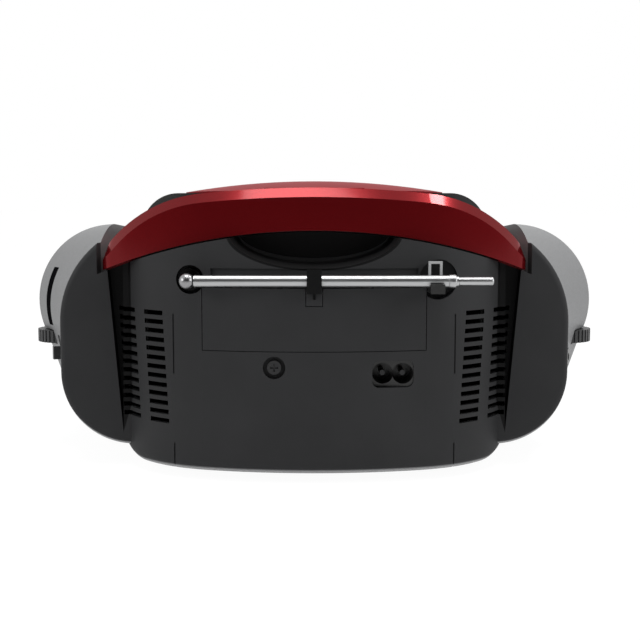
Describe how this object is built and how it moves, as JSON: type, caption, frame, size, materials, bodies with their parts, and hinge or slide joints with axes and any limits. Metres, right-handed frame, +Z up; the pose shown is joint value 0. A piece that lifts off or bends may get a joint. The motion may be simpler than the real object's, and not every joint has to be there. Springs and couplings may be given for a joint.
{
  "type": "portable disc, radio and cassette player",
  "caption": "Portable stereo with disc lid on top, cassette door in front, speaker pods at the ends, fold-down carrying handle and telescopic aerial across the back.",
  "frame": {"origin": "on the table, under the middle of the set", "axes": "+Z up, front of the set towards -Y, back with the aerial towards +Y, +X to the set's right as seen from behind on the left of the picture"},
  "size_m": [0.275, 0.2168, 0.1306],
  "materials": {
    "dark_grey": "fine matt texture",
    "black": "satin",
    "silver": "silver paint",
    "red": "metallic red",
    "chrome": "polished",
    "light_grey": "matt",
    "steel": "plated",
    "grille_metal": "satin",
    "driver_metal": "matt",
    "cone_paper": "matt",
    "window": "clear",
    "inner_plastic": "matt",
    "control_black": "knurled",
    "board": "laminate",
    "rubber": "matt"
  },
  "bodies": {
    "cabinet": {"antenna_rest": "light_grey", "battery_box": "black", "battery_contacts": "steel", "case_screw": "steel", "cd_chassis": "inner_plastic", "control_pots": "inner_plastic", "deck_chassis": "steel", "deck_motor": "steel", "dial_window": "black", "display_window": "window", "drive_belt": "rubber", "feet": "rubber", "front_cabinet": "black", "handle_pivot_pins": "steel", "inlet_pins": "steel", "main_board": "board", "mains_inlet": "black", "phones_socket": "black", "pod_shell_left": "silver", "pod_shell_right": "silver", "rear_cabinet": "dark_grey", "speaker_cone_left": "cone_paper", "speaker_cone_right": "cone_paper", "speaker_driver_left": "driver_metal", "speaker_driver_right": "driver_metal", "speaker_grille_left": "grille_metal", "speaker_grille_right": "grille_metal", "tape_head": "steel", "top_panel": "black", "transformer": "driver_metal"},
    "handle": {"handle": "red"},
    "cd_lid": {"cd_lid": "red"},
    "battery_door": {"battery_door": "dark_grey"},
    "tuning_wheel": {"tuning_wheel": "control_black"},
    "volume_wheel": {"volume_wheel": "control_black"},
    "band_switch": {"band_switch": "control_black"},
    "cd_turntable": {"cd_turntable": "inner_plastic"},
    "laser_sled": {"laser_sled": "inner_plastic"},
    "supply_spindle": {"supply_spindle": "inner_plastic"},
    "takeup_spindle": {"takeup_spindle": "inner_plastic"},
    "capstan_flywheel": {"capstan_flywheel": "steel"},
    "pinch_roller": {"pinch_roller": "rubber"},
    "motor_pulley": {"motor_pulley": "inner_plastic"},
    "key_record": {"key_record": "black"},
    "key_play": {"key_play": "black"},
    "key_rewind": {"key_rewind": "black"},
    "key_forward": {"key_forward": "black"},
    "key_stop": {"key_stop": "black"},
    "key_pause": {"key_pause": "black"},
    "button_back": {"button_back": "silver"},
    "button_play": {"button_play": "silver"},
    "button_stop": {"button_stop": "silver"},
    "button_next": {"button_next": "silver"},
    "button_mode": {"button_mode": "silver"},
    "cassette_door": {"cassette_door": "black", "cassette_window": "window"},
    "aerial": {"antenna_base": "chrome", "antenna_outer_tube": "chrome"},
    "aerial_middle": {"antenna_middle_tube": "chrome"},
    "aerial_tip": {"antenna_tip": "chrome"}
  },
  "joints": [
    {"name": "handle_swing", "type": "hinge", "parent": "cabinet", "child": "handle", "pos_m": [0, -0.038, 0.093], "axis": [1, 0, 0], "range_deg": [0, 90]},
    {"name": "lid_hinge", "type": "hinge", "parent": "cabinet", "child": "cd_lid", "pos_m": [0, 0.0728, 0.1216], "axis": [-1, 0, 0], "range_deg": [0, 50]},
    {"name": "cassette_hinge", "type": "hinge", "parent": "cabinet", "child": "cassette_door", "pos_m": [0, -0.0956, 0.014], "axis": [1, 0, 0], "range_deg": [0, 35]},
    {"name": "battery_lift", "type": "slide", "parent": "cabinet", "child": "battery_door", "axis": [0, 1, 0], "range_m": [0, 0.03]},
    {"name": "aerial_swing", "type": "hinge", "parent": "cabinet", "child": "aerial", "pos_m": [0.053, 0.1034, 0.087], "axis": [0, 1, 0], "range_deg": [0, 180]},
    {"name": "aerial_middle_slide", "type": "slide", "parent": "aerial", "child": "aerial_middle", "axis": [-1, 0, 0], "range_m": [0, 0.085]},
    {"name": "aerial_tip_slide", "type": "slide", "parent": "aerial_middle", "child": "aerial_tip", "axis": [-1, 0, 0], "range_m": [0, 0.085]},
    {"name": "tuning_turn", "type": "hinge", "parent": "cabinet", "child": "tuning_wheel", "pos_m": [0.1215, 0.013, 0.055], "axis": [0, 0, 1], "range_deg": [-150, 150]},
    {"name": "volume_turn", "type": "hinge", "parent": "cabinet", "child": "volume_wheel", "pos_m": [-0.1215, 0.013, 0.055], "axis": [0, 0, 1], "range_deg": [-150, 150]},
    {"name": "band_slide", "type": "slide", "parent": "cabinet", "child": "band_switch", "axis": [0, 0, 1], "range_m": [0, 0.005]},
    {"name": "disc_spin", "type": "hinge", "parent": "cabinet", "child": "cd_turntable", "pos_m": [0, 0.008, 0.115], "axis": [0, 0, 1], "continuous": true},
    {"name": "sled_slide", "type": "slide", "parent": "cabinet", "child": "laser_sled", "axis": [0, -1, 0], "range_m": [0, 0.02]},
    {"name": "supply_spin", "type": "hinge", "parent": "cabinet", "child": "supply_spindle", "pos_m": [-0.02125, -0.085, 0.046], "axis": [0, 1, 0], "continuous": true},
    {"name": "takeup_spin", "type": "hinge", "parent": "cabinet", "child": "takeup_spindle", "pos_m": [0.02125, -0.085, 0.046], "axis": [0, 1, 0], "continuous": true},
    {"name": "capstan_spin", "type": "hinge", "parent": "cabinet", "child": "capstan_flywheel", "pos_m": [-0.015, -0.056, 0.07], "axis": [0, 1, 0], "continuous": true},
    {"name": "pinch_spin", "type": "hinge", "parent": "cabinet", "child": "pinch_roller", "pos_m": [-0.015, -0.086, 0.07695], "axis": [0, 1, 0], "continuous": true},
    {"name": "pulley_spin", "type": "hinge", "parent": "cabinet", "child": "motor_pulley", "pos_m": [0.034, -0.055, 0.06], "axis": [0, 1, 0], "continuous": true},
    {"name": "key_record_press", "type": "slide", "parent": "cabinet", "child": "key_record", "axis": [0, 0, -1], "range_m": [0, 0.0034], "stiffness_N_per_m": 300},
    {"name": "key_play_press", "type": "slide", "parent": "cabinet", "child": "key_play", "axis": [0, 0, -1], "range_m": [0, 0.0034], "stiffness_N_per_m": 300},
    {"name": "key_rewind_press", "type": "slide", "parent": "cabinet", "child": "key_rewind", "axis": [0, 0, -1], "range_m": [0, 0.0034], "stiffness_N_per_m": 300},
    {"name": "key_forward_press", "type": "slide", "parent": "cabinet", "child": "key_forward", "axis": [0, 0, -1], "range_m": [0, 0.0034], "stiffness_N_per_m": 300},
    {"name": "key_stop_press", "type": "slide", "parent": "cabinet", "child": "key_stop", "axis": [0, 0, -1], "range_m": [0, 0.0034], "stiffness_N_per_m": 300},
    {"name": "key_pause_press", "type": "slide", "parent": "cabinet", "child": "key_pause", "axis": [0, 0, -1], "range_m": [0, 0.0034], "stiffness_N_per_m": 300},
    {"name": "button_back_press", "type": "slide", "parent": "cabinet", "child": "button_back", "axis": [0, 0.5408, -0.8412], "range_m": [0, 0.0012], "stiffness_N_per_m": 400},
    {"name": "button_play_press", "type": "slide", "parent": "cabinet", "child": "button_play", "axis": [0, 0.5408, -0.8412], "range_m": [0, 0.0012], "stiffness_N_per_m": 400},
    {"name": "button_stop_press", "type": "slide", "parent": "cabinet", "child": "button_stop", "axis": [0, 0.5408, -0.8412], "range_m": [0, 0.0012], "stiffness_N_per_m": 400},
    {"name": "button_next_press", "type": "slide", "parent": "cabinet", "child": "button_next", "axis": [0, 0.5408, -0.8412], "range_m": [0, 0.0012], "stiffness_N_per_m": 400},
    {"name": "button_mode_press", "type": "slide", "parent": "cabinet", "child": "button_mode", "axis": [0, 0.5408, -0.8412], "range_m": [0, 0.0012], "stiffness_N_per_m": 400}
  ],
  "couplings": [
    {"joint": "pulley_spin", "follows": "capstan_spin", "ratio": 4.25}
  ]
}
